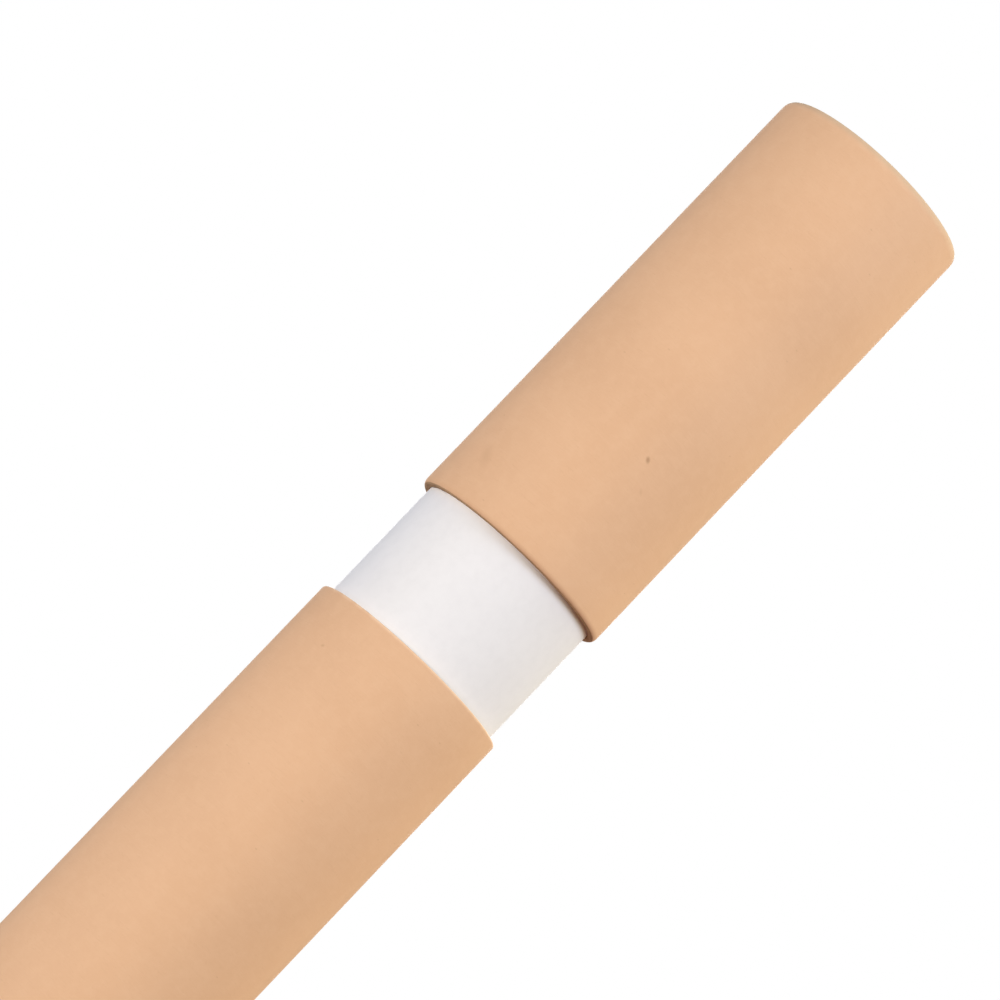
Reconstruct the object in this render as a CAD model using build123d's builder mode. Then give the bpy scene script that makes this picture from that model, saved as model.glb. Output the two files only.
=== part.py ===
"""Round paper tube for incense sticks: a body with an inner neck, and a cap that slides over the neck.

Millimetres. The tube stands on its base rim, +Z up, with the origin at the centre of the base.
"""

import os

from build123d import *

# Outer tubes: body and cap are cut from the same wound kraft tube
bore = 28.0
wall = 1.1
body_length = 160.0
cap_length = 69.8

# Rolled end: the wall turns inwards and back along itself as a short lip
lip_depth = 3.0  # from the rim to the cut end of the lip
lip_gap = 0.1  # between the lip and the wall that it lies against
roll_radius = 0.9  # outside corner of the roll, either side of its flat crest

# Neck: a thinner tube glued into the body, from the base disc to above the mouth
fit_clearance = 0.1  # on the radius, between the neck and both bores
neck_wall = 1.0
neck_height = 45.0  # above the body's mouth

# Discs that close the base and the cap
disc_thickness = 1.5
disc_clearance = 0.05  # on the radius, between a disc and the bore

# Where the cap is drawn to: this much of the neck shows between the two mouths
neck_shown = 18.7

# Cut board edges are eased by the knife and by handling, the outer corner of the cap's mouth most of all
cut_edge_chamfer = 0.15
body_mouth_chamfer = 0.2
cap_mouth_chamfer = 0.32

bore_radius = bore / 2
outside_radius = bore_radius + wall
lip_outer_radius = bore_radius - lip_gap
lip_inner_radius = lip_outer_radius - wall
rim_width = outside_radius - lip_inner_radius
neck_outer_radius = bore_radius - fit_clearance
neck_inner_radius = neck_outer_radius - neck_wall
disc_radius = bore_radius - disc_clearance

neck_foot = lip_depth + disc_thickness
neck_top = body_length + neck_height
cap_mouth = body_length + neck_shown
cap_top = cap_mouth + cap_length


def rolled_wall(rim, mouth, mouth_chamfer):
    """Section of a wound wall, cut square at its mouth and rolled inwards at its rim."""
    inward = 1 if mouth > rim else -1
    lip_end = rim + inward * lip_depth
    fold = rim + inward * wall
    with BuildSketch(Plane.XZ) as section:
        with BuildLine():
            Polyline(
                (bore_radius, mouth),
                (outside_radius, mouth),
                (outside_radius, rim),
                (lip_inner_radius, rim),
                (lip_inner_radius, lip_end),
                (lip_outer_radius, lip_end),
                (lip_outer_radius, fold),
                (bore_radius, fold),
                close=True,
            )
        make_face()
        rim_corners = section.vertices().filter_by_position(Axis.Y, rim, rim)
        fillet(rim_corners, min(roll_radius, 0.45 * rim_width))
        inner_corner = section.vertices().filter_by_position(Axis.Y, mouth, mouth).sort_by(Axis.X)[0]
        chamfer(inner_corner, min(cut_edge_chamfer, 0.4 * wall))
        outer_corner = section.vertices().filter_by_position(Axis.Y, mouth, mouth).sort_by(Axis.X)[-1]
        chamfer(outer_corner, min(mouth_chamfer, 0.4 * wall))
    return section.sketch


# Body: stands on its rolled rim, open end up
with BuildPart() as body_tube:
    add(rolled_wall(rim=0, mouth=body_length, mouth_chamfer=body_mouth_chamfer))
    revolve(axis=Axis.Z)

# Base disc: rests on the cut end of the body's lip
with BuildPart() as base_disc:
    with BuildSketch(Plane.XY.offset(lip_depth)):
        Circle(disc_radius)
    extrude(amount=disc_thickness)

# Neck: stands on the base disc, both ends cut square
with BuildPart() as neck_sleeve:
    with BuildSketch(Plane.XY.offset(neck_foot)):
        Circle(neck_outer_radius)
        Circle(neck_inner_radius, mode=Mode.SUBTRACT)
    extrude(amount=neck_top - neck_foot)
    top_edges = neck_sleeve.edges().group_by(Axis.Z)[-1]
    chamfer(top_edges, min(cut_edge_chamfer, 0.4 * neck_wall))

# Cap: the same section turned over, its mouth down over the neck
with BuildPart() as cap_tube:
    add(rolled_wall(rim=cap_top, mouth=cap_mouth, mouth_chamfer=cap_mouth_chamfer))
    revolve(axis=Axis.Z)

# Cap disc: lies against the cut end of the cap's lip
with BuildPart() as cap_disc:
    with BuildSketch(Plane.XY.offset(cap_top - lip_depth - disc_thickness)):
        Circle(disc_radius)
    extrude(amount=disc_thickness)

body_tube.part.label = "body_tube"
base_disc.part.label = "base_disc"
neck_sleeve.part.label = "neck_sleeve"
cap_tube.part.label = "cap_tube"
cap_disc.part.label = "cap_disc"

os.makedirs("parts", exist_ok=True)
for piece in (body_tube, base_disc, neck_sleeve, cap_tube, cap_disc):
    export_step(piece.part, f"parts/{piece.part.label}.step")
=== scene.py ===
"""A round paper tube for incense sticks, its cap drawn part of the way off the white neck.

It is built as it is put together: body, base disc, neck, cap, cap disc. Then come the floor, the light
and the camera. Sizes and places are in millimetres, times MM for Blender's metres.
"""

import math

import bmesh
import bpy
from mathutils import Matrix, Vector, noise


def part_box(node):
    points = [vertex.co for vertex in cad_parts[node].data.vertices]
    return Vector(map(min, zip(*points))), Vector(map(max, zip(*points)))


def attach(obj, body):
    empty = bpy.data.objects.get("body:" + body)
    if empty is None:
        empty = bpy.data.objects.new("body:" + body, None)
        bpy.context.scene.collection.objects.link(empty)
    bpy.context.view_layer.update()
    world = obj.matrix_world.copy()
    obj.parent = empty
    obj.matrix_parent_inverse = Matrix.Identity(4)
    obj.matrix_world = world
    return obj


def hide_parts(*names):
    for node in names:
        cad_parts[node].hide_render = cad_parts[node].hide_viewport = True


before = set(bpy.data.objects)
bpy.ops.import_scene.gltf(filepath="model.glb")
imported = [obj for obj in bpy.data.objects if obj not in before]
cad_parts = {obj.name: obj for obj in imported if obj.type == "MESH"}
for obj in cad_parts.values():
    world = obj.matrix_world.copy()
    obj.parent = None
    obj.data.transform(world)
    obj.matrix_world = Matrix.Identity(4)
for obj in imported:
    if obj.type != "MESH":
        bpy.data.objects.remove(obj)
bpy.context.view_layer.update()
MM = 0.001

# The body: kraft board wound on a mandrel into a straight tube, with a wrap of smooth kraft paper glued
# round it and lapped along the back. The mouth is cut square by a knife. The other end is rolled inwards
# over a die and back along the wall, which leaves a round rim and a short lip.
wall = 1.1
ply = 0.25  # thickness of one layer of board in the wall
ply_groove = 0.035  # depth of the fine groove between two cut layers
ply_edge = 0.12  # share of a layer, on each side, that slopes into the grooves
torn_fibre = 0.012  # how far back the fibre of a cut edge lies, on average
torn_scale = 9  # of the noise that tears it, on a circle of radius 1
mouth_gap = 0.01  # how far back each mouth stops, so that two closed mouths don't rub
wrap_thickness = 0.1
lap_width = 9.0
lap_edge = 0.03  # way round in which the wrap drops at its free edge
lap_fall = 2.0  # and in which it fades over its covered edge
lip_gap = 0.1
lip_ease = 0.05  # rounding of the lip's cut end
lip_crushed = 0.12  # and of that end's inner edge, which the pleats break down
roll_radius = 0.9
roll_run = 1.25  # height over which the outside turns into the roll
fullness = 2.4  # of that turn: 2 is a plain ellipse, more is squarer
crest_pleating = 0.4  # share of the pleats that reaches the rim's crest
pleat_depth = 0.055
pleat_scale = 17  # of the noise that makes the pleats, on the same circle
sway_depth = 0.02  # how far the pleated wall wanders in and out
sway_scale = 4  # of the noise that moves it, and thins the pleats out in places
cut_ease = 0.15  # how far handling has rounded a cut edge
bore_ease = cut_ease / 2  # less on the bore's side, which is touched less
body_mouth_ease = 0.3  # and more on the body's mouth, where the knife presses it down
corner_steps = 6  # in the rounded outer corner of a mouth
columns_around = 720  # in the mesh of each wall
body_lap_angle = 98  # degrees round the axis, with the camera's side at -90
body_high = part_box("body_tube")[1] / MM
body_length = body_high.z
outside_radius = body_high.x
bore_radius = outside_radius - wall
lip_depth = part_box("base_disc")[0].z / MM
lip_outer_radius = bore_radius - lip_gap
lip_inner_radius = lip_outer_radius - wall

PAPER, CUT, LINER = range(3)  # the faces' materials, in every wound wall


def quarter_turn(centre, radius, start, steps=9, stretch=1.0):
    """Points on a quarter circle, counter-clockwise from a start angle in degrees, its heights stretched."""
    angles = [math.radians(start + 90 * step / steps) for step in range(steps + 1)]
    return [
        (centre[0] + radius * math.cos(angle), centre[1] + stretch * radius * math.sin(angle))
        for angle in angles
    ]


def cut_end(outer, inner, length, ease, stretch=1.0, bared=0):
    """A knife cut across the plies, from the rounded outer corner to the inner, with grooves between plies.

    The last steps of the corner, as many as are bared, have lost their wrap and show the board.
    """
    corner = quarter_turn((outer - ease, length - stretch * ease), ease, 0, corner_steps, stretch)[:-1]
    wrapped = corner_steps - bared
    points = [(radius, height, PAPER, 0) for radius, height in corner[:wrapped]]
    points += [(radius, height, CUT, 0) for radius, height in corner[wrapped:]]
    flat_outer = outer - ease
    flat_inner = inner + bore_ease
    layers = round((flat_outer - flat_inner) / ply)
    layer = (flat_outer - flat_inner) / layers
    for number in range(layers):
        edge = flat_outer - number * layer
        if number:
            points.append((edge, length - ply_groove, CUT, 0))
        points.append((edge - ply_edge * layer, length, CUT, 0))
        points.append((edge - (1 - ply_edge) * layer, length, CUT, 0))
    points.append((inner, length - bore_ease, LINER, 0))
    return points


def rolled_outline(length, ease, stretch=1.0, bared=0):
    """Outline of a wall with a rolled rim: radius, height above the rim, material and share of pleating."""
    outline = [(outside_radius, roll_run, PAPER, 0)]
    rings = 24
    for ring in range(1, rings):
        height = roll_run + (length - ease - roll_run) * ring / rings
        outline.append((outside_radius, height, PAPER, 0))
    outline += cut_end(outside_radius, bore_radius, length, ease, stretch, bared)
    fold = wall  # the rim is one wall thick, and above it the lip stands free of the bore
    partway = fold + 2.5 * lip_depth
    outline += [
        (bore_radius, partway, LINER, 0),
        (bore_radius, fold, LINER, 0),
        (lip_outer_radius, fold, LINER, 0),
        (lip_outer_radius, lip_depth - lip_ease, CUT, 0),
        (lip_outer_radius - lip_ease, lip_depth, CUT, 0),
        (lip_inner_radius + lip_crushed, lip_depth, CUT, 0),
        (lip_inner_radius + lip_crushed / 4, lip_depth - lip_crushed / 3, PAPER, 1),
    ]
    for share in (0.15, 0.4, 0.7):
        outline.append((lip_inner_radius, lip_depth + (roll_radius - lip_depth) * share, PAPER, 1))
    inner_roll = quarter_turn((lip_inner_radius + roll_radius, roll_radius), roll_radius, 180)
    for step, (radius, height) in enumerate(inner_roll):
        pleated = 1 - (1 - crest_pleating) * step / len(inner_roll)
        outline.append((radius, height, PAPER, pleated))
    steps = 14
    for step in range(steps):
        turn = math.radians(90 * step / steps)
        out = math.sin(turn) ** (2 / fullness)
        up = math.cos(turn) ** (2 / fullness)
        radius = outside_radius - roll_radius * (1 - out)
        pleated = crest_pleating * (1 - step / steps) ** 2
        outline.append((radius, roll_run * (1 - up), PAPER, pleated))
    return outline


def lap_height(angle, lap_angle):
    """How far the lapped wrap stands out at an angle: a sharp step at one edge, a soft fall at the other."""
    past = (math.degrees(angle) - lap_angle) % 360 * math.radians(1) * outside_radius
    fall = min(max((past - lap_width) / lap_fall, 0), 1)
    return wrap_thickness * (1 - fall * fall * (3 - 2 * fall))


def pleat_height(angle, seed):
    """Irregular small pleats where the board is crowded together by the roll."""
    place = Vector((math.cos(angle), math.sin(angle), 0))
    fine = noise.noise(pleat_scale * place + Vector((0, 0, seed)))
    broad = noise.noise(sway_scale * place + Vector((0, 0, seed + 9)))
    return pleat_depth * fine * (0.7 + 0.6 * broad) + sway_depth * broad


def along_section(outline):
    """Way along a closed outline to each point and last to the first again, from the first one's height."""
    along = [outline[0][1]]
    for here, after in zip(outline, outline[1:] + outline[:1]):
        along.append(along[-1] + math.dist(here[:2], after[:2]))
    return along


def wound_wall(name, outline, rim, inward, lap_angle, seed, lap=1.0):
    """Turns an outline round the axis into a closed wall, with a map in millimetres round and along it."""
    step = math.tau / columns_around
    free_edge = math.radians(lap_angle)
    angles = [free_edge + step * number for number in range(columns_around)]
    angles.append(free_edge + math.tau - lap_edge / outside_radius)
    count = len(outline)
    along = along_section(outline)
    highest = max(point[1] for point in outline) - mouth_gap
    mesh = bpy.data.meshes.new(name)
    made = bmesh.new()
    unrolled = made.loops.layers.uv.new("unrolled")
    # A column of points at each angle, pushed out by the lap and the pleats, and back by torn fibre
    columns = []
    for angle in angles:
        east, north = math.cos(angle), math.sin(angle)
        raised = lap * lap_height(angle, lap_angle)
        pleat = pleat_height(angle, seed)
        column = []
        for number, (radius, height, finish, pleated) in enumerate(outline):
            before, after = outline[number - 1], outline[(number + 1) % count]
            normal = Vector((after[1] - before[1], before[0] - after[0])).normalized()
            out = pleat * pleated
            if finish == PAPER:
                out += raised
            if finish == CUT:
                torn = noise.noise(Vector((torn_scale * east, torn_scale * north, seed + number)))
                out -= torn_fibre * (1 + torn)
            far = radius + out * normal.x
            z = rim + inward * min(max(height + out * normal.y, 0), highest)
            column.append(made.verts.new((far * east * MM, far * north * MM, z * MM)))
        columns.append(column)
    # A strip of faces between each two columns, the last of them the step at the lap's free edge
    for place, column in enumerate(columns):
        beside = columns[(place + 1) % len(columns)]
        turned = angles[place] - free_edge
        turned_beside = angles[place + 1] - free_edge if place + 1 < len(angles) else math.tau
        for number in range(count):
            above = (number + 1) % count
            face = made.faces.new((column[number], beside[number], beside[above], column[above]))
            face.material_index = outline[number][2]
            face.smooth = True
            here, ahead = along[number], along[number + 1]
            corners = ((turned, here), (turned_beside, here), (turned_beside, ahead), (turned, ahead))
            for loop, (turn, way) in zip(face.loops, corners):
                loop[unrolled].uv = (turn * outside_radius, way)
    bmesh.ops.recalc_face_normals(made, faces=made.faces)
    made.to_mesh(mesh)
    made.free()
    mesh.set_sharp_from_angle(angle=math.radians(40))
    piece = bpy.data.objects.new(name, mesh)
    bpy.context.scene.collection.objects.link(piece)
    return piece


def node(tree, kind, inputs, **settings):
    """Adds a shader node and fills its sockets with values or with other nodes' outputs."""
    made = tree.nodes.new("ShaderNode" + kind)
    for setting, value in settings.items():
        setattr(made, setting, value)
    for socket, value in inputs.items():
        if isinstance(value, bpy.types.NodeSocket):
            tree.links.new(value, made.inputs[socket])
        else:
            made.inputs[socket].default_value = value
    return made.outputs


def reckoned(tree, operation, first, second=0.0, third=0.0):
    """One step of arithmetic between outputs and numbers."""
    return node(tree, "Math", {0: first, 1: second, 2: third}, operation=operation)[0]


def graded(tree, value, low, high, to_low=0.0, to_high=1.0):
    """A value spread smoothly from one range to another."""
    spread = {"Value": value, "From Min": low, "From Max": high, "To Min": to_low, "To Max": to_high}
    return node(tree, "MapRange", spread, interpolation_type="SMOOTHSTEP")[0]


def tinted(tree, share, colour, other):
    """Goes from one colour to another by a share."""
    return node(tree, "Mix", {0: share, 6: colour, 7: other}, data_type="RGBA", blend_type="MIX")[2]


def tinted_by(tree, pattern, strength, colour, other):
    """Goes from one colour to another where a pattern is, at a strength."""
    return tinted(tree, reckoned(tree, "MULTIPLY", pattern, strength), colour, other)


def paper_cloud(tree, place, per_mm, detail=3.0, roughness=0.5):
    """Uneven formation of a sheet of paper: a soft noise with so many clouds to the millimetre."""
    wanted = {"Vector": place, "Scale": per_mm, "Detail": detail, "Roughness": roughness}
    return node(tree, "TexNoise", wanted, noise_dimensions="2D")[0]


def fibres(tree, place, lie, length, width, shift):
    """Thin wandering fibres that lie one way, in patches, along the middle value of a drawn-out noise."""
    turned = node(tree, "Mapping", {
        "Vector": place,
        "Location": (shift, shift * 1.7, 0),
        "Rotation": (0, 0, math.radians(lie)),
        "Scale": (1 / length, 1 / width, 1),
    })[0]
    drawn_out = {"Vector": turned, "Scale": 1.0, "Detail": 1.5}
    ridge = node(tree, "TexNoise", drawn_out, noise_dimensions="2D")[0]
    off_ridge = reckoned(tree, "ABSOLUTE", reckoned(tree, "SUBTRACT", ridge, 0.5))
    line = graded(tree, off_ridge, 0.0, 0.02, 1.0, 0.0)
    patch = graded(tree, paper_cloud(tree, turned, 0.6, detail=1.0), 0.5, 0.62)
    return reckoned(tree, "MULTIPLY", line, patch)


def crossed_fibres(tree, place, first, second):
    """Two sets of fibres over each other, each given by its lie, length, width and shift."""
    return reckoned(tree, "ADD", fibres(tree, place, *first), fibres(tree, place, *second))


def mark(tree, place, at, size, lie, soft):
    """A spot on the sheet: 1 at its middle, falling to 0 at its edge."""
    turned = node(tree, "Mapping", {
        "Vector": place,
        "Location": (at[0], at[1], 0),
        "Rotation": (0, 0, math.radians(lie)),
        "Scale": (size[0], size[1], 1),
    }, vector_type="TEXTURE")[0]
    from_middle = node(tree, "VectorMath", {0: turned}, operation="LENGTH")["Value"]
    return graded(tree, from_middle, soft, 1.0, 1.0, 0.0)


def new_finish(name):
    """A material with its node tree and its Principled shader."""
    finish = bpy.data.materials.new(name)
    finish.use_nodes = True
    tree = finish.node_tree
    return finish, tree, tree.nodes["Principled BSDF"]


def set_relief(tree, shader, relief, strength, depth):
    """Fine relief in the surface, so many millimetres deep."""
    bump = node(tree, "Bump", {"Height": relief, "Strength": strength, "Distance": depth * MM})[0]
    tree.links.new(bump, shader.inputs["Normal"])


kraft = (0.81, 0.49, 0.30, 1)
kraft_light = (0.87, 0.57, 0.375, 1)
kraft_dark = (0.62, 0.345, 0.195, 1)
# Colour of the painted shade on the crest of the rolled rim
kraft_crest_shade = (0.60, 0.42, 0.275, 1)
fleck_brown = (0.28, 0.115, 0.045, 1)
rub_and_highlight_start = 0.55  # how far back from the mouth its paler band starts, partly rubbed wear and partly painted highlight
rub_and_highlight_full = 0.1  # and from where it is full
crest_shade_start = 2.3  # way along the roll, back from the straight outside, where the painted shade on the crest starts
crest_shade_full = 1.8  # the same, from where it is full
crest_shade_fall = 1.1  # and from where it fades
crest_shade_strength = 0.6


def kraft_paper(name, shift, outline, length, rub_and_highlight, marks):
    """Smooth brown wrap: faint clouds, fine fibres and bark flecks, a mouth paler from wear and a painted
    highlight, and stated marks.

    The rolled rim's crest is painted a little darker: painted shade against the light it catches from above.
    """
    finish, tree, shader = new_finish(name)
    unrolled = node(tree, "UVMap", {}, uv_map="unrolled")[0]
    place = node(tree, "VectorMath", {0: unrolled, 1: (shift, shift * 0.6, 0)}, operation="ADD")[0]
    height = node(tree, "SeparateXYZ", {0: unrolled})[1]
    broad = paper_cloud(tree, place, 0.045, detail=2.0)
    fine = paper_cloud(tree, place, 0.5, detail=5.0, roughness=0.62)
    colour = tinted(tree, graded(tree, broad, 0.3, 0.7, 0.0, 0.18), kraft, kraft_dark)
    colour = tinted(tree, graded(tree, fine, 0.35, 0.75, 0.0, 0.22), colour, kraft_light)
    pale_fibres = crossed_fibres(tree, place, (8, 3.0, 0.16, 3.1), (-52, 2.2, 0.15, 7.7))
    dark_fibres = crossed_fibres(tree, place, (31, 2.6, 0.17, 12.3), (84, 2.4, 0.15, 21.9))
    colour = tinted_by(tree, pale_fibres, 0.26, colour, kraft_light)
    colour = tinted_by(tree, dark_fibres, 0.20, colour, kraft_dark)
    # Bark flecks, in a few of the cells that the sheet is divided into
    stretched = node(tree, "Mapping", {"Vector": place, "Scale": (0.24, 0.5, 1)})[0]
    cells = node(tree, "TexVoronoi", {"Vector": stretched, "Scale": 1.0}, voronoi_dimensions="2D")
    has_fleck = graded(tree, node(tree, "SeparateColor", {0: cells["Color"]})[0], 0.965, 0.975)
    fleck = reckoned(tree, "MULTIPLY", graded(tree, cells["Distance"], 0.015, 0.06, 1.0, 0.0), has_fleck)
    colour = tinted_by(tree, fleck, 0.16, colour, fleck_brown)
    for at, size, lie, soft, strength, stain in marks:
        spot = mark(tree, unrolled, at, size, lie, soft)
        colour = tinted_by(tree, spot, strength, colour, stain)
    # The mouth, paler in patches: partly rubbed wear, partly a painted highlight where its rounded edge
    # catches the light
    near_mouth = graded(tree, height, length - rub_and_highlight_start, length - rub_and_highlight_full)
    uneven = graded(tree, fine, 0.35, 0.6, 0.3 * rub_and_highlight, rub_and_highlight)
    colour = tinted(tree, reckoned(tree, "MULTIPLY", near_mouth, uneven), colour, kraft_light)
    # The crest of the rolled rim, painted darker: painted shade that tones down the light it catches from
    # above
    roll_end = along_section(outline)[-1]
    rising = graded(tree, height, roll_end - crest_shade_start, roll_end - crest_shade_full)
    falling = graded(tree, height, roll_end - crest_shade_fall, roll_end, crest_shade_strength, 0.0)
    colour = tinted(tree, reckoned(tree, "MULTIPLY", rising, falling), colour, kraft_crest_shade)
    tree.links.new(colour, shader.inputs["Base Color"])
    tree.links.new(graded(tree, fine, 0.3, 0.7, 0.60, 0.70), shader.inputs["Roughness"])
    shader.inputs["Specular IOR Level"].default_value = 0.35
    grain = paper_cloud(tree, place, 5.0, detail=3.0, roughness=0.6)
    all_fibres = reckoned(tree, "ADD", pale_fibres, dark_fibres)
    relief = reckoned(tree, "MULTIPLY_ADD", all_fibres, 0.5, grain)
    set_relief(tree, shader, relief, strength=0.35, depth=0.012)
    return finish


def cut_board(name, light, dark):
    """Knife-cut edge of wound board: rough torn fibre, in patches from a dark shade to a light one."""
    finish, tree, shader = new_finish(name)
    unrolled = node(tree, "UVMap", {}, uv_map="unrolled")[0]
    torn = paper_cloud(tree, unrolled, 6.0, detail=4.0, roughness=0.7)
    colour = tinted(tree, graded(tree, torn, 0.3, 0.7), dark, light)
    tree.links.new(colour, shader.inputs["Base Color"])
    shader.inputs["Roughness"].default_value = 0.92
    shader.inputs["Specular IOR Level"].default_value = 0.15
    set_relief(tree, shader, torn, strength=0.6, depth=0.03)
    return finish


def board_liner(name, light, dark):
    """Plain inside of the board, duller and coarser than the wrap."""
    finish, tree, shader = new_finish(name)
    unrolled = node(tree, "UVMap", {}, uv_map="unrolled")[0]
    coarse = paper_cloud(tree, unrolled, 0.8, detail=5.0, roughness=0.65)
    threads = fibres(tree, unrolled, lie=20, length=2.8, width=0.2, shift=5.5)
    colour = tinted(tree, graded(tree, coarse, 0.3, 0.7), dark, light)
    colour = tinted_by(tree, threads, 0.2, colour, light)
    tree.links.new(colour, shader.inputs["Base Color"])
    shader.inputs["Roughness"].default_value = 0.88
    shader.inputs["Specular IOR Level"].default_value = 0.2
    set_relief(tree, shader, coarse, strength=0.4, depth=0.03)
    return finish


def on_wrap(angle, height_above_rim, lap_angle):
    """Where a mark at an angle round the axis lies on the unrolled wrap."""
    return math.radians((angle - lap_angle) % 360) * outside_radius, height_above_rim


kraft_cut = cut_board("kraft_board_cut", light=(0.64, 0.42, 0.26, 1), dark=(0.44, 0.275, 0.17, 1))
kraft_liner = board_liner("kraft_board_liner", light=(0.55, 0.36, 0.22, 1), dark=(0.46, 0.29, 0.17, 1))
# Each mark: its place, half length and half width, lie in degrees, share that is full, strength, stain
body_marks = [
    (on_wrap(-130.2, 153.0, body_lap_angle), (0.42, 0.27), 25, 0.2, 0.55, kraft_dark),
]
body_outline = rolled_outline(body_length, body_mouth_ease)
body_wrap = kraft_paper(
    "kraft_wrap_body", shift=11.0, outline=body_outline, length=body_length, rub_and_highlight=0.95, marks=body_marks)
body_wall = wound_wall("body_wound_wall", body_outline, rim=0, inward=1, lap_angle=body_lap_angle, seed=1)
for finish in (body_wrap, kraft_cut, kraft_liner):
    body_wall.data.materials.append(finish)
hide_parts("body_tube")
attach(body_wall, "tube")

# The base disc: a round of kraft board, pushed in from the mouth until its edge sits on the end of the lip.
# The press leaves it a little dished, and its sheared edge is hidden by the lip.
disc_dish = 0.12
dish_curve = 1.25  # how soon the dish runs out, which leaves a flat border at the lip
ripple_depth = 0.012
ripple_reach = 0.9  # share of the radius that is rippled
ripple_scale = 6  # of the noise that ripples it, on a circle of radius 1
disc_rings = 16
disc_corners = 192
press_ring = 11.5  # radius of the plunger that pushes the disc home


def board_disc(name, radius, shown, hidden):
    """A disc between two heights, dished away from its shown face, with a flat map in millimetres."""
    mesh = bpy.data.meshes.new(name)
    made = bmesh.new()
    unrolled = made.loops.layers.uv.new("unrolled")
    sinks = math.copysign(disc_dish, hidden - shown)
    layers = []
    for height, dished in ((shown, 1), (hidden, 0)):
        rings = []
        for ring in range(1, disc_rings + 1):
            share = ring / disc_rings
            dish = dished * sinks * max(0.0, 1 - share * share * dish_curve)
            points = []
            for number in range(disc_corners):
                angle = math.tau * number / disc_corners
                x, y = share * math.cos(angle), share * math.sin(angle)
                rise = noise.noise(Vector((ripple_scale * x, ripple_scale * y, shown)))
                level = height + dish + ripple_depth * rise * (share < ripple_reach)
                points.append(made.verts.new((radius * x * MM, radius * y * MM, level * MM)))
            rings.append(points)
        centre = made.verts.new((0, 0, (height + dished * sinks) * MM))
        layers.append((centre, rings))
    for centre, rings in layers:
        for number in range(disc_corners):
            beside = (number + 1) % disc_corners
            made.faces.new((centre, rings[0][number], rings[0][beside]))
            for inner, outer in zip(rings, rings[1:]):
                made.faces.new((inner[number], outer[number], outer[beside], inner[beside]))
    top, bottom = layers[0][1][-1], layers[1][1][-1]
    for number in range(disc_corners):
        beside = (number + 1) % disc_corners
        made.faces.new((top[number], bottom[number], bottom[beside], top[beside]))
    for face in made.faces:
        face.smooth = True
        for loop in face.loops:
            loop[unrolled].uv = (loop.vert.co.x / MM, loop.vert.co.y / MM)
    bmesh.ops.recalc_face_normals(made, faces=made.faces)
    made.to_mesh(mesh)
    made.free()
    mesh.set_sharp_from_angle(angle=math.radians(40))
    piece = bpy.data.objects.new(name, mesh)
    bpy.context.scene.collection.objects.link(piece)
    return piece


disc_kraft = (0.74, 0.445, 0.27, 1)


def disc_board_finish(name):
    """Stamped kraft board, coarser than the wrap, with the plunger's faint ring, and darker towards its edge
    at the lip.
    """
    finish, tree, shader = new_finish(name)
    flat = node(tree, "UVMap", {}, uv_map="unrolled")[0]
    from_centre = node(tree, "VectorMath", {0: flat}, operation="LENGTH")["Value"]
    coarse = paper_cloud(tree, flat, 0.4, detail=5.0, roughness=0.65)
    colour = tinted(tree, graded(tree, coarse, 0.3, 0.7, 0.0, 0.35), disc_kraft, kraft_dark)
    pale_fibres = crossed_fibres(tree, flat, (17, 3.4, 0.20, 5.1), (-64, 2.6, 0.18, 9.3))
    dark_fibres = crossed_fibres(tree, flat, (48, 3.0, 0.20, 15.7), (97, 2.7, 0.18, 27.1))
    colour = tinted_by(tree, pale_fibres, 0.34, colour, kraft_light)
    colour = tinted_by(tree, dark_fibres, 0.28, colour, kraft_dark)
    off_ring = reckoned(tree, "ABSOLUTE", reckoned(tree, "SUBTRACT", from_centre, press_ring))
    ring = graded(tree, off_ring, 0.05, 0.4, 1.0, 0.0)
    colour = tinted_by(tree, ring, 0.16, colour, kraft_dark)
    # Darker from the plunger's ring out to the edge, where the disc meets the lip
    darker_at_joint = graded(tree, from_centre, press_ring, lip_inner_radius, 0.0, 0.30)
    colour = tinted(tree, darker_at_joint, colour, kraft_dark)
    tree.links.new(colour, shader.inputs["Base Color"])
    tree.links.new(graded(tree, coarse, 0.3, 0.7, 0.72, 0.82), shader.inputs["Roughness"])
    shader.inputs["Specular IOR Level"].default_value = 0.25
    surface = reckoned(tree, "ADD", coarse, pale_fibres)
    relief = reckoned(tree, "MULTIPLY_ADD", ring, -0.8, surface)
    set_relief(tree, shader, relief, strength=0.4, depth=0.03)
    return finish


disc_paper = disc_board_finish("kraft_disc")
base_low, base_high = (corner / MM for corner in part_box("base_disc"))
base_disc = board_disc("base_board_disc", base_high.x, shown=base_low.z, hidden=base_high.z)
base_disc.data.materials.append(disc_paper)
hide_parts("base_disc")
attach(base_disc, "tube")

# The neck: a thinner tube of board with a white paper wrap, glued into the body and standing on the base
# disc, both its ends cut square. The cap slides over the part that stands out of the body.
neck_lap_angle = 71
neck_low, neck_high = (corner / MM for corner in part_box("neck_sleeve"))
neck_wall = 1.0
neck_foot_ease = 0.1  # rounding of its lower edges
neck_lap = 0.5  # of the wrap's thickness, so that the lap still passes the cap's bore


def neck_outline(outer, inner, length):
    """Outline of a plain wall cut square at both ends."""
    outline = [(outer, neck_foot_ease, PAPER, 0)]
    rings = 12
    for ring in range(1, rings):
        outline.append((outer, (length - cut_ease) * ring / rings, PAPER, 0))
    outline += cut_end(outer, inner, length, cut_ease)
    outline += [
        (inner, 0.6 * length, LINER, 0),
        (inner, neck_foot_ease, CUT, 0),
        (inner + neck_foot_ease, 0, CUT, 0),
        (outer - neck_foot_ease, 0, CUT, 0),
    ]
    return outline


white = (0.90, 0.875, 0.91, 1)
white_shade = (0.815, 0.79, 0.825, 1)
# Colour of the painted shade on the neck just above the body's mouth, where it goes into the body
neck_joint_shade = (0.62, 0.59, 0.57, 1)
joint_shade_height = 1.1  # how far up from the body's mouth the painted shade reaches
joint_shade_strength = 0.22


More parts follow.
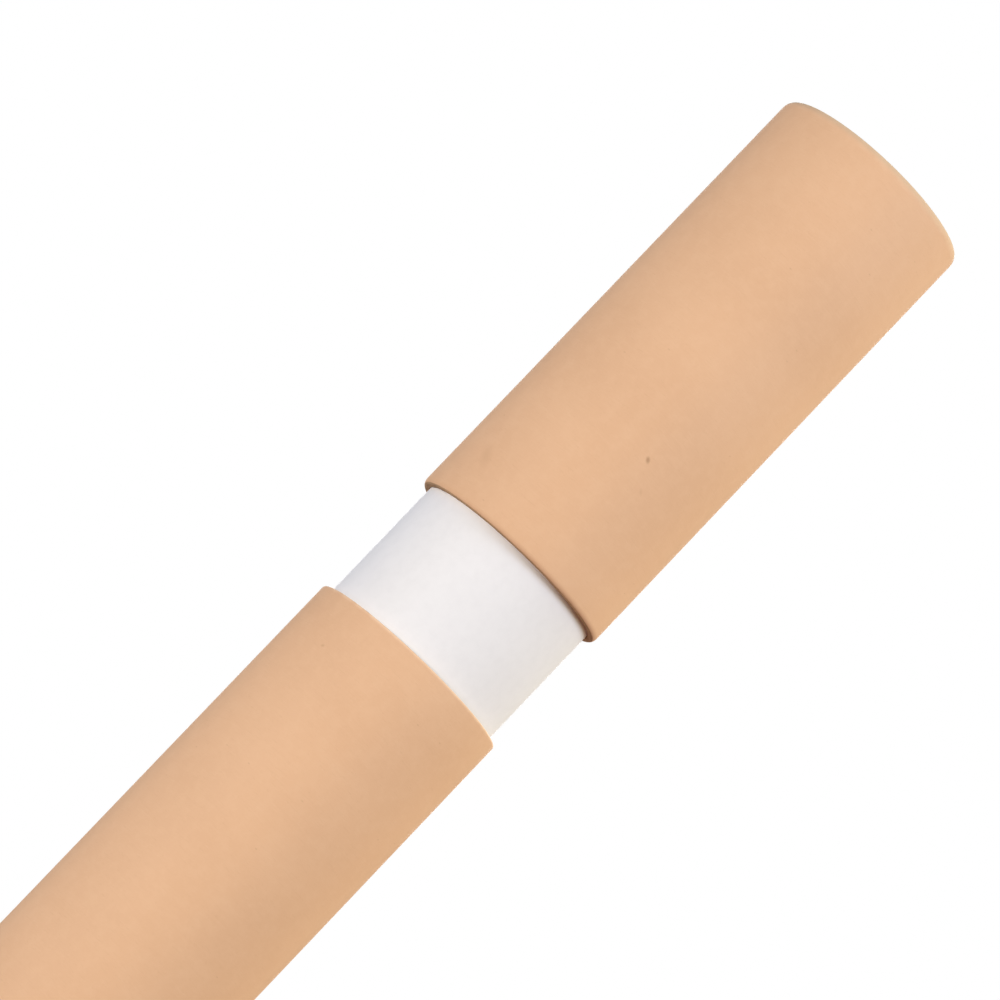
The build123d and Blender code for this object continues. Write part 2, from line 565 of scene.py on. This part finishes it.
def white_paper(name, joint):
    """White wrap: very faint clouds and fibres, a soft low sheen, and painted shade just above the body's
    mouth.
    """
    finish, tree, shader = new_finish(name)
    unrolled = node(tree, "UVMap", {}, uv_map="unrolled")[0]
    height = node(tree, "SeparateXYZ", {0: unrolled})[1]
    broad = paper_cloud(tree, unrolled, 0.08, detail=3.0)
    fine = paper_cloud(tree, unrolled, 0.6, detail=5.0, roughness=0.62)
    grain = paper_cloud(tree, unrolled, 5.0, detail=3.0, roughness=0.6)
    threads = fibres(tree, unrolled, lie=12, length=2.6, width=0.15, shift=2.2)
    colour = tinted(tree, graded(tree, broad, 0.3, 0.7, 0.0, 0.18), white, white_shade)
    colour = tinted(tree, graded(tree, fine, 0.35, 0.75, 0.0, 0.26), colour, white_shade)
    colour = tinted_by(tree, threads, 0.12, colour, white_shade)
    # Painted shade: the neck darker just above the body's mouth
    darker_at_joint = graded(tree, height, joint, joint + joint_shade_height, joint_shade_strength, 0.0)
    colour = tinted(tree, darker_at_joint, colour, neck_joint_shade)
    tree.links.new(colour, shader.inputs["Base Color"])
    shader.inputs["Roughness"].default_value = 0.6
    shader.inputs["Specular IOR Level"].default_value = 0.35
    set_relief(tree, shader, grain, strength=0.3, depth=0.01)
    return finish


white_wrap = white_paper("white_wrap", body_length - neck_low.z)
white_cut = cut_board("white_board_cut", light=(0.66, 0.60, 0.54, 1), dark=(0.50, 0.44, 0.38, 1))
neck_section = neck_outline(neck_high.x, neck_high.x - neck_wall, neck_high.z - neck_low.z)
neck = wound_wall(
    "neck_wound_wall", neck_section, rim=neck_low.z, inward=1,
    lap_angle=neck_lap_angle, seed=40, lap=neck_lap)
for finish in (white_wrap, white_cut, kraft_liner):
    neck.data.materials.append(finish)
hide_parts("neck_sleeve")
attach(neck, "tube")

# The cap: a short length of the same tube as the body, its top rolled in like the base and its mouth cut
# square. It stays where it is drawn to by the snug fit of its bore on the neck.
cap_mouth_ease = 0.45  # more than on the body, because this edge is pushed on and off
cap_mouth_stretch = 1.9  # how much taller than deep that rounding is
cap_corner_bared = 2  # steps of that corner, next to the cut, where the wrap is rubbed through
cap_lap_angle = 64
cap_low, cap_high = (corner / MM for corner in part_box("cap_tube"))
cap_length = cap_high.z - cap_low.z


def on_cap(angle, height):
    """Where a mark at an angle and a height above the floor lies on the cap's unrolled wrap."""
    return on_wrap(angle, cap_high.z - height, cap_lap_angle)


cap_marks = [
    (on_cap(-75.1, 198.6), (0.66, 0.42), 50, 0.1, 0.50, fleck_brown),
    (on_cap(-66.4, 195.1), (0.75, 0.30), 45, 0.0, 0.30, kraft_dark),
    (on_cap(-139.5, 185.4), (2.6, 1.3), 50, 0.0, 0.30, kraft_dark),
]
cap_outline = rolled_outline(cap_length, cap_mouth_ease, cap_mouth_stretch, cap_corner_bared)
cap_wrap = kraft_paper(
    "kraft_wrap_cap", shift=83.0, outline=cap_outline, length=cap_length, rub_and_highlight=0.2, marks=cap_marks)
cap_wall = wound_wall(
    "cap_wound_wall", cap_outline, rim=cap_high.z, inward=-1, lap_angle=cap_lap_angle, seed=3)
for finish in (cap_wrap, kraft_cut, kraft_liner):
    cap_wall.data.materials.append(finish)
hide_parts("cap_tube")
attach(cap_wall, "cap")

# The cap disc: a second round of the base's stamped kraft board, pushed in from the cap's mouth until its
# edge sits against the end of the cap's lip, and dished in the same way.
lid_low, lid_high = (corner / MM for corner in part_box("cap_disc"))
cap_disc = board_disc("cap_board_disc", lid_high.x, shown=lid_high.z, hidden=lid_low.z)
cap_disc.data.materials.append(disc_paper)
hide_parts("cap_disc")
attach(cap_disc, "cap")

# The floor: a plain pale sweep that the tube stands on. It throws no diffuse light back up, because in the
# photo almost none reaches the tube from below.
floor_radius = 3000
floor_colour = (0.91, 0.865, 0.935, 1)
floor_mesh = bpy.data.meshes.new("floor")
floor_made = bmesh.new()
bmesh.ops.create_circle(floor_made, cap_ends=True, radius=floor_radius * MM, segments=96)
floor_made.to_mesh(floor_mesh)
floor_made.free()
floor = bpy.data.objects.new("floor", floor_mesh)
bpy.context.scene.collection.objects.link(floor)
floor_finish, _, floor_shader = new_finish("pale_floor")
floor_shader.inputs["Base Color"].default_value = floor_colour
floor_shader.inputs["Roughness"].default_value = 0.8
floor.data.materials.append(floor_finish)
floor.visible_diffuse = False

# The light: a room shown as plain white, bright and warm high on the camera's right, dim and bluish on its
# left. A long soft lamp stands low on the left, a smaller one hangs high on the right, and a third lights
# the back. The first and the third leave out the floor, so that they make no bright patches on it.
warm_right = (1.36, 1.31, 0.91, 1)
cool_left = (0.09, 0.21, 0.41, 1)
warm_below = (0.20, 0.05, 0.01, 1)
dark_below = (0, 0, 0, 1)
room = bpy.data.worlds.new("white_room")
bpy.context.scene.world = room
room.use_nodes = True
room_tree = room.node_tree
room_tree.nodes.clear()
towards = node(room_tree, "SeparateXYZ", {0: node(room_tree, "TexCoord", {})["Generated"]})
rightwards = graded(room_tree, towards[0], -0.9, 0.9)
above = tinted(room_tree, rightwards, cool_left, warm_right)
below = tinted(room_tree, rightwards, dark_below, warm_below)
room_glow = tinted(room_tree, graded(room_tree, towards[2], -0.15, 0.35), below, above)
room_light = node(room_tree, "Background", {"Color": room_glow, "Strength": 1.0})[0]
room_shown = node(room_tree, "Background", {"Color": (1, 1, 1, 1), "Strength": 1.0})[0]
seen = node(room_tree, "LightPath", {})["Is Camera Ray"]
room_mix = node(room_tree, "MixShader", {0: seen, 1: room_light, 2: room_shown})[0]
node(room_tree, "OutputWorld", {"Surface": room_mix})


def soft_lamp(name, place, aim, width, height, watts, colour):
    """A rectangular lamp behind a white screen, turned towards a point."""
    lamp = bpy.data.lights.new(name, "AREA")
    lamp.shape = "RECTANGLE"
    lamp.size = width * MM
    lamp.size_y = height * MM
    lamp.energy = watts
    lamp.color = colour
    held = bpy.data.objects.new(name, lamp)
    held.location = Vector(place) * MM
    held.rotation_euler = (Vector(aim) - Vector(place)).to_track_quat("-Z", "Y").to_euler()
    held.visible_camera = False
    bpy.context.scene.collection.objects.link(held)
    return held


low_lamp = soft_lamp(
    "low_lamp", (-600, -450, 60), (0, 0, 170), width=600, height=80, watts=4.6, colour=(1.0, 0.96, 0.87))
soft_lamp(
    "high_lamp", (400, -330, 570), (0, 0, 190), width=300, height=300, watts=2.4, colour=(0.68, 0.80, 1.0))
back_lamp = soft_lamp(
    "back_lamp", (0, 750, 380), (0, 0, 130), width=400, height=400, watts=3.8, colour=(1.0, 0.97, 0.97))
screened = bpy.data.collections.new("screened_from_lamps")
screened.objects.link(floor)
screened.collection_objects[0].light_linking.link_state = "EXCLUDE"
for lamp in (low_lamp, back_lamp):
    lamp.light_linking.receiver_collection = screened

# The camera: a long lens that stands low, well below the cap, and is tipped up and turned on its side, so
# that the tube crosses the frame from corner to corner.
camera_distance = 772.0
camera_height = 65.0
camera_yaw = 0.471  # degrees, as are the next two
camera_tip = 8.76
camera_roll = 43.724
lens_mm = 217.3
sensor_mm = 36
camera_data = bpy.data.cameras.new("camera")
camera_data.sensor_width = sensor_mm
camera_data.lens = lens_mm
camera = bpy.data.objects.new("camera", camera_data)
turned = Matrix.Rotation(math.radians(camera_yaw), 4, "Z")
tipped = Matrix.Rotation(math.radians(90 + camera_tip), 4, "X")
rolled = Matrix.Rotation(math.radians(camera_roll), 4, "Z")
stands = Matrix.Translation((0, -camera_distance * MM, camera_height * MM))
camera.matrix_world = stands @ turned @ tipped @ rolled
bpy.context.scene.collection.objects.link(camera)
bpy.context.scene.camera = camera
bpy.context.scene.view_settings.view_transform = "Standard"
